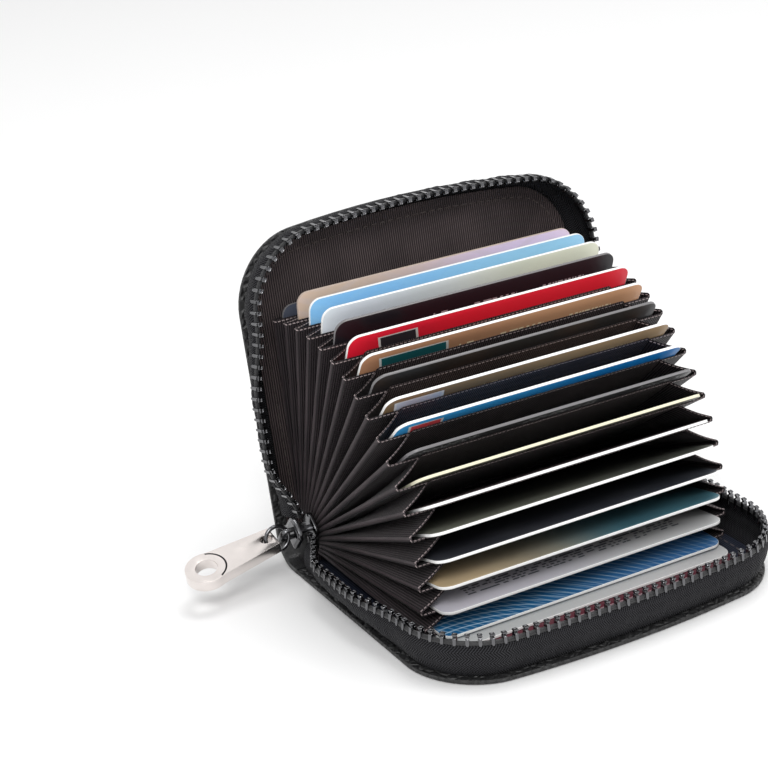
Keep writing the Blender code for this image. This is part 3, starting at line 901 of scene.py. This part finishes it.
def pleat(bay, end, word):
    """One fold of the strip that closes the pockets at one end: out along a leaf and back again."""
    foot, long, steps = -0.8 * MM, 55.8 * MM, 12
    rows = []
    for k in range(steps + 1):
        reach = foot + long * k / steps
        crest = min(1.25 * MM, 0.85 * (bay_pitch + leaf_angle * reach))
        low = fan(bay, end * (leaf_half + 0.05 * MM), reach, 0.0)
        out = fan(bay, end * (fan_half - 0.25 * MM), reach, 0.0)
        tip = fan(bay, end * (fan_half + 0.1 * MM), reach, crest * 0.55)
        back = fan(bay, end * (fan_half - 0.05 * MM), reach, crest)
        far = fan(bay + 1, end * (leaf_half + 0.05 * MM), reach, -0.1 * MM)
        up = (far - low).normalized()
        row = [low.lerp(out, i / 4) for i in range(4)] + [out, tip, back]
        for i in range(1, 8):
            t = i / 8
            bow = 0.35 * MM * math.sin(math.pi * t) * (reach / (55 * MM))
            row.append(back.lerp(far, t) - up * bow)
        rows.append(row + [far])
    mesh = skin(rows)
    area = area_of(mesh)
    wide = max(sum((p - q).length for p, q in zip(row, row[1:])) for row in rows)
    name = f"{word}_pleat_{bay + 1:02d}"
    piece = from_mesh(name, mesh)
    modify(piece, "SOLIDIFY", thickness=0.12 * MM, offset=0.0)
    body = f"leaf_{bay:02d}" if bay else "lower_cover"
    made = settle(piece, NYLON, body, (word + "_gusset",), matrix=Matrix(), angle=40)
    outward = fan(bay, 0, leaf_reach, 0) - fan(bay, 0, leaf_reach - MM, 0)
    places = [frame_of(p - outward * 0.6, way, outward) for p, way in spaced(rows[-1], 1.15 * MM)]
    threads = settle(copies(name + "_stitches", dot, places), SELVAGE, body, matrix=Matrix())
    normal = fan(bay, 0, 0, 1.0) - fan(bay, 0, 0, 0.0)
    for item in (made, threads):
        tuple(fan(bay, 0, 0, 0))
        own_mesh(item)


for bay in range(bay_count):
    pleat(bay, -1, "near")
    pleat(bay, 1, "far")
discard(dot)


def fan_back():
    """The strip of cloth behind the pockets, to which the leaves and the pleats are sewn."""
    reach = Vector((fan_half, 0, 0))
    planes = list(range(bay_count)) + [bay_count - 0.13]
    line = [hinge + Vector((0, MM, -11.3 * MM))] + [fan(plane, 0, -MM, 0) for plane in planes]
    piece = from_mesh("fan_back_cloth", skin([(p - reach, p + reach) for p in line]))
    modify(piece, "SOLIDIFY", thickness=0.25 * MM, offset=0.0)
    made = settle(piece, NYLON, None, matrix=Matrix(), angle=60)
    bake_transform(made)


fan_back()


def blank_card():
    """A card with round corners and softened rims, centred, its front edge at -Y."""
    x, y, t = card_size.x / 2, card_size.y / 2, card_size.z / 2
    piece = block("blank_card", (-x, -y, -t), (x, y, t))
    bevel(piece, 3.18 * MM, 7, lambda m, d: abs(d.z) > 0.9)
    bevel(piece, 0.09 * MM, 2, lambda m, d: abs(abs(m.z) - t) < 1e-6)
    down()
    return piece


def card(name, word, matrix, face, core):
    """A card from the blank: its faces printed, its core bare on its edge."""
    piece = put(bpy.data.objects.new(name, blank.data.copy()))
    piece.data.name = name
    piece.data.materials.clear()
    piece.data.materials.append(face)
    piece.data.materials.append(core)
    while piece.data.uv_layers:
        piece.data.uv_layers.remove(piece.data.uv_layers[0])
    uv = piece.data.uv_layers.new(name="print")
    for polygon in piece.data.polygons:
        polygon.material_index = 0 if abs(polygon.normal.z) > 0.97 else 1
        for i in polygon.loop_indices:
            at = piece.data.vertices[piece.data.loops[i].vertex_index].co
            uv.data[i].uv = (at.x / card_size.x + 0.5, 0.5 - at.y / card_size.y)
    settle(piece, None, name, (f"{name}_{word}",), matrix=matrix, angle=30)


# bottom to top: the colour at the near end and at the far end, the core, the motif and its ink
prints = (
    ("blue_lined", (0.012, 0.115, 0.27), (0.03, 0.13, 0.32), CORE,
     dict(motif="rings", ink=(0.50, 0.68, 0.80), share=0.6)),
    ("grey_text", (0.52, 0.51, 0.57), (0.50, 0.50, 0.50), CORE,
     dict(motif="rows", ink=(0.035, 0.045, 0.06), share=0.9)),
    ("teal", (0.60, 0.44, 0.25), (0.055, 0.15, 0.19), CORE,
     dict(ink=(0.02, 0.03, 0.03), share=0.9, turn=0.3)),
    ("white_edge", (0.028, 0.030, 0.038), (0.030, 0.034, 0.044), CORE, dict(share=0.1)),
    ("dark_green", (0.15, 0.155, 0.125), (0.10, 0.105, 0.09), CORE,
     dict(ink=(0.02, 0.025, 0.02), share=0.9)),
    ("white", (0.085, 0.066, 0.067), (0.085, 0.066, 0.070), CORE, dict(share=0.1)),
    ("cream_green", (0.075, 0.072, 0.052), (0.070, 0.066, 0.054),
     card_core("cream card core", (0.80, 0.77, 0.58)), dict(share=0.1)),
    ("black_gloss", (0.018, 0.018, 0.020), (0.020, 0.020, 0.022), GREY_CORE,
     dict(motif="scrolls", ink=(0.24, 0.24, 0.24), share=0.8)),
    ("blue", (0.03, 0.26, 0.56), (0.004, 0.16, 0.46), CORE,
     dict(motif="bars", ink=(0.45, 0.56, 0.66), share=0.6, label=(0.06, 0.16, (0.62, 0.06, 0.07)))),
    ("olive", (0.20, 0.125, 0.060), (0.34, 0.215, 0.10), CORE,
     dict(motif="bars", ink=(0.85, 0.72, 0.45), label=(0.05, 0.20, (0.50, 0.53, 0.58)))),
    ("black_matt", (0.013, 0.013, 0.014), (0.013, 0.015, 0.018), GREY_CORE,
     dict(ink=(0.16, 0.07, 0.03), share=0.5)),
    ("bronze", (0.44, 0.22, 0.12), (0.62, 0.33, 0.18), CORE,
     dict(motif="bars", ink=(0.95, 0.82, 0.55), share=0.9, label=(0.08, 0.30, (0.010, 0.10, 0.11)))),
    ("red", (0.74, 0.010, 0.034), (0.70, 0.012, 0.036), CORE,
     dict(motif="rows", ink=(0.20, 0.004, 0.012), share=0.5, label=(0.12, 0.24, (0.02, 0.018, 0.025)))),
    ("black_plain", (0.010, 0.010, 0.013), (0.012, 0.012, 0.015), GREY_CORE,
     dict(motif="bars", ink=(0.55, 0.55, 0.56), share=0.7)),
    ("pale_green", (0.80, 0.85, 0.92), (0.88, 0.89, 0.72), CORE,
     dict(ink=(0.50, 0.62, 0.48), share=0.6)),
    ("light_blue", (0.24, 0.54, 0.86), (0.32, 0.62, 0.88), CORE,
     dict(motif="waves", ink=(0.30, 0.58, 0.82), share=0.25)),
    ("lilac", (0.66, 0.48, 0.36), (0.76, 0.60, 0.76), TAN_CORE,
     dict(motif="waves", ink=(0.62, 0.52, 0.52), share=0.25)),
    ("navy", (0.05, 0.06, 0.09), (0.03, 0.035, 0.07), GREY_CORE,
     dict(ink=(0.5, 0.4, 0.2), share=0.1)),
)
blank = blank_card()
last_drop, last_shift = 4.0 * MM, -1.5 * MM
for n, (word, left, right, core, more) in enumerate(prints):
    last = n == bay_count - 1
    foot = 5.6 * MM + 2.6 * MM * n / (bay_count - 1) - last_drop * last
    middle = Vector((last_shift * last, -foot - card_size.y / 2,
                     fan_foot + bay_pitch * n + card_lift + card_size.z / 2))
    place = (Matrix.Translation(hinge) @ Matrix.Rotation(-leaf_angle * n, 4, "X")
             @ Matrix.Translation(middle))
    card(f"card_{n + 1:02d}", word, place, card_face(word, left, right, **more), core)
slips = (
    ("maroon", (0.075, 0.007, 0.016), (0.065, 0.006, 0.014), PINK_CORE, dict(share=0.1)),
    ("grey", (0.40, 0.41, 0.41), (0.46, 0.46, 0.46), CORE, dict(ink=(0.4, 0.4, 0.42), share=0.1)),
)
for n, (word, left, right, core, more) in enumerate(slips):
    foot = 9.5 * MM + 2.5 * MM * (1 - n)
    low = -half + slip_foot + 0.86 * MM * n
    middle = hinge + Vector((0, -foot - card_size.y / 2, low + card_size.z / 2))
    card(f"slip_card_{n + 1}", word, Matrix.Translation(middle), card_face(word, left, right, **more),
         core)
discard(blank)


def slip_panel():
    """The slip pocket's panel, with seam walls down to the lining and a hemmed mouth."""
    x0, x1 = 43.1 * MM, 44.3 * MM
    mouth, hem, seam, foot = -49 * MM, -47.4 * MM, -9.2 * MM, -8 * MM
    low, under, top = -half + slip_foot, -half + 4.37 * MM, -half + 4.67 * MM
    piece = block("slip_panel_cloth", (-x1, mouth, under), (x1, foot, top))
    cut_across(0, x0, -x0)
    cut_across(1, seam, hem)
    pick(piece, lambda m, n: n.z < -0.9 and (abs(m.x) > x0 or m.y > seam))
    extrude(z=low - under)
    pick(piece, lambda m, n: n.z > 0.9 and m.y < hem)
    extrude(z=0.12 * MM)
    bevel(piece, 0.1 * MM, 2, lambda m, d: m.z > top - 1e-6 and (
        abs(m.x) > x1 - 1e-6 or m.y > foot - 1e-5 or m.y < mouth + 1e-5))
    made = settle(piece, LINING, "lower_cover", ("slip_pocket_panel",))
    line = [Vector((x, -48.2 * MM, top + 0.14 * MM)) for x in (-x1 + 0.5 * MM, x1 - 0.5 * MM)]
    stitch_row("slip_panel_stitches", spaced(line, 2.4 * MM), 1.6 * MM, 0.3 * MM, BROWN, "lower",
               bowed=False)


slip_panel()


def slider_plate(name, x0, x1, front, back):
    """One plate of the slider, rounder at the end where the zip runs in."""
    deep = 3.5 * MM
    piece = block(name, (x0, front, -deep), (x1, back, deep))
    for y, radius, segments in ((front, 1.9, 4), (back, 1.0, 3)):
        bevel(piece, radius * MM, segments, lambda m, d: abs(d.x) > 0.9 and abs(m.y - y) < 0.1 * MM)
    return piece


def slider():
    """Two plates round the zip joined by a post, flanged, with a bail on the outer plate."""
    long, thick = 7.4 * MM, 1.1 * MM
    back = long * 0.62
    front = back - long
    inner, outer = 50.25 * MM - 1.4 * MM, 52.6 * MM
    shift = (back + front) / 2
    piece = slider_plate("slider_body", -outer - thick, -outer, front, back)
    pick(piece, lambda m, n: n.x < -0.9)
    inset(0.7 * MM)
    inset(0.25 * MM, 0.22 * MM)
    bevel(piece, 0.16 * MM, 2, lambda m, d: abs(m.x + outer + thick) < 1e-6 and abs(d.x) < 0.1)
    under = slider_plate("under_plate", -inner, -inner + thick, front, back)
    bevel(under, 0.2 * MM, 2, lambda m, d: abs(d.x) < 0.1)
    cut(piece, under, "UNION")
    post = block("post", (-outer - 0.5 * MM, shift - 0.8 * MM, -0.8 * MM),
                 (-inner + 0.5 * MM, shift + 0.8 * MM, 0.8 * MM))
    bevel(post, 0.3 * MM, 2, lambda m, d: abs(d.x) > 0.9)
    cut(piece, post, "UNION")
    foot, rise, wire, span = -outer - thick, 3.9 * MM, 1.1 * MM, 3.0 * MM
    w = 0.6 * MM
    bail = block("bail", (foot - rise, shift - span, -w), (foot + 0.5 * MM, shift + span, w))
    bevel(bail, 1.6 * MM, 5, lambda m, d: abs(d.z) > 0.9 and m.x < foot - rise + MM)
    gap = block("gap", (foot - rise + wire, shift - span + wire, -2 * w),
                (foot + MM, shift + span - wire, 2 * w))
    bevel(gap, 0.6 * MM, 3, lambda m, d: abs(d.z) > 0.9 and m.x < foot - rise + wire + MM)
    cut(bail, gap)
    modify(bail, "BEVEL", width=0.3 * MM, segments=3, angle_limit=math.radians(50))
    cut(piece, bail, "UNION")
    settle(piece, TEETH, "slider", ("zip_slider",), turn=-opening / 2, angle=38)
    return hinge + Matrix.Rotation(-opening / 2, 3, "X") @ Vector((foot - rise + wire / 2, shift, 0))


bar = slider()
drop = Matrix.Translation(bar) @ Matrix.Rotation(-pull_drop, 4, "Y")
link_middle, link_radius = -1.3 * MM, 3.3 * MM


def link():
    """A split ring through the bail and the tab, its ends nearly touching."""
    down()
    bpy.ops.mesh.primitive_torus_add(major_radius=link_radius, minor_radius=0.55 * MM,
                                     major_segments=64, minor_segments=14,
                                     location=(link_middle, 0, 0), rotation=(math.pi / 2, 0, 0))
    piece = begin("link_ring")
    pick(piece, lambda m, n: m.z > 0 and abs(m.x - link_middle) < 0.09 * MM)
    bpy.ops.mesh.delete(type="FACE")
    bpy.ops.mesh.select_mode(type="EDGE")
    bpy.ops.mesh.select_non_manifold(extend=False)
    bpy.ops.mesh.edge_face_add()
    pick_all()
    bpy.ops.mesh.fill_holes(sides=0)
    settle(piece, TEETH, "link", ("pull_link",),
           matrix=drop @ Matrix.Rotation(math.radians(-11.5), 4, "X"), angle=60)


link()


def tab():
    """A flat tab with straight sides that run to its round end, with an eye and a finger hole."""
    eye = link_middle - link_radius
    start = eye + 2.5 * MM
    ring_radius, long = 5.7 * MM, 26.0 * MM
    middle = start - long + ring_radius
    t, n, clear = 1.5 * MM, 3.6 * MM, 9 * MM
    tab_place = drop @ Matrix.Rotation(math.radians(12.5), 4, "X")
    piece = block("tab_plate", (middle, -n, -t), (start, n, t))
    bevel(piece, 0.5 * MM, 4, lambda m, d: abs(d.z) > 0.9 and m.x > start - MM)
    pick(piece, lambda m, f: f.x < -0.9)
    bpy.ops.transform.resize(value=(1, 1.5, 1), center_override=(middle, 0, 0))
    cut(piece, round_bar("ring_end", (middle, 0, 0), ring_radius, 2 * t), "UNION")
    for name, x, radius in (("eye", eye, 1.6), ("finger_hole", middle, 3.0)):
        cut(piece, round_bar(name, (x, 0, 0), radius * MM, 4 * t, sides=56))
    modify(piece, "BEVEL", width=0.22 * MM, segments=3, angle_limit=math.radians(40))
    for side in (1, -1):
        groove = round_bar("groove", (middle, 0, side * t), ring_radius - 0.15 * MM, 0.5 * MM)
        cut(groove, round_bar("core", (middle, 0, side * t), ring_radius - 0.65 * MM, MM))
        cut(groove, block("front", (middle - clear, -clear, -clear), (middle + 2.0 * MM, clear, clear)))
        # a black copy of each groove, sunk into it, is painted shade that darkens the groove
        shade_fill = groove.copy()
        shade_fill.data = groove.data.copy()
        shade_fill.name = shade_fill.data.name = "groove_shade_front" if side > 0 else "groove_shade_back"
        shade_fill.data.transform(Matrix.Translation((0, 0, -0.31 * MM * side)))
        settle(put(shade_fill), GROOVE_SHADE, "tab", matrix=tab_place)
        cut(piece, groove)
    settle(piece, STEEL, "tab", ("pull_tab",), matrix=tab_place, angle=32)


tab()


def surroundings():
    """A white floor and backdrop, soft lamps, and the camera."""
    down()
    bpy.ops.mesh.primitive_plane_add(size=6.0, location=(0, 0, -0.0002))
    floor = bpy.context.object
    floor.name = "floor"
    f = Finish("white floor", (0.93, 0.93, 0.93), 0.6)
    clouds = f.noise(1.5, 2.0)
    f.feed("Base Color", f.mix(clouds, (0.92, 0.92, 0.92), (0.94, 0.94, 0.94)))
    floor.data.materials.append(f.material)
    world = bpy.data.worlds.new("white studio")
    bpy.context.scene.world = world
    world.use_nodes = True
    nodes, links = world.node_tree.nodes, world.node_tree.links
    ground = nodes["Background"]
    rays = nodes.new("ShaderNodeLightPath")
    seen = nodes.new("ShaderNodeMath")
    seen.operation = "MAXIMUM"
    links.new(rays.outputs["Is Camera Ray"], seen.inputs[0])
    links.new(rays.outputs["Is Glossy Ray"], seen.inputs[1])
    strength = nodes.new("ShaderNodeMapRange")
    strength.inputs["To Min"].default_value = 0.6
    strength.inputs["To Max"].default_value = 1.0
    links.new(seen.outputs[0], strength.inputs["Value"])
    links.new(strength.outputs["Result"], ground.inputs["Strength"])
    ground.inputs["Color"].default_value = (1.0, 1.0, 1.0, 1.0)
    for name, place, size, power in (
        ("key lamp", (-0.7, -0.9, 1.2), 0.7, 12.0),
        ("top lamp", (0.3, 0.1, 1.4), 0.7, 7.0),
        ("side lamp", (1.1, -0.7, 0.7), 0.5, 3.5),
    ):
        light = bpy.data.lights.new(name, "AREA")
        light.energy = power
        light.size = size
        lamp = put(bpy.data.objects.new(name, light))
        lamp.location = place
        lamp.rotation_euler = (Vector((0, 0, 0.03)) - Vector(place)).to_track_quat("-Z", "Y").to_euler()
    lens = bpy.data.cameras.new("camera")
    lens.lens = 92.05
    lens.sensor_width = 36.0
    lens.clip_start = 0.05
    camera = put(bpy.data.objects.new("camera", lens))
    round_by, up_by, lean = math.radians(-27.92), math.radians(22.49), math.radians(-4.0)
    turn = (Matrix.Rotation(round_by, 4, "Z") @ Matrix.Rotation(math.pi / 2 - up_by, 4, "X")
            @ Matrix.Rotation(lean, 4, "Z"))
    target, away = Vector((-0.02718, 0.02945, 0.05191)), 0.5129
    camera.matrix_world = Matrix.Translation(target) @ turn @ Matrix.Translation((0, 0, away))
    bpy.context.scene.camera = camera
    bpy.context.scene.view_settings.view_transform = "Standard"


surroundings()
down()
bpy.context.view_layer.update()
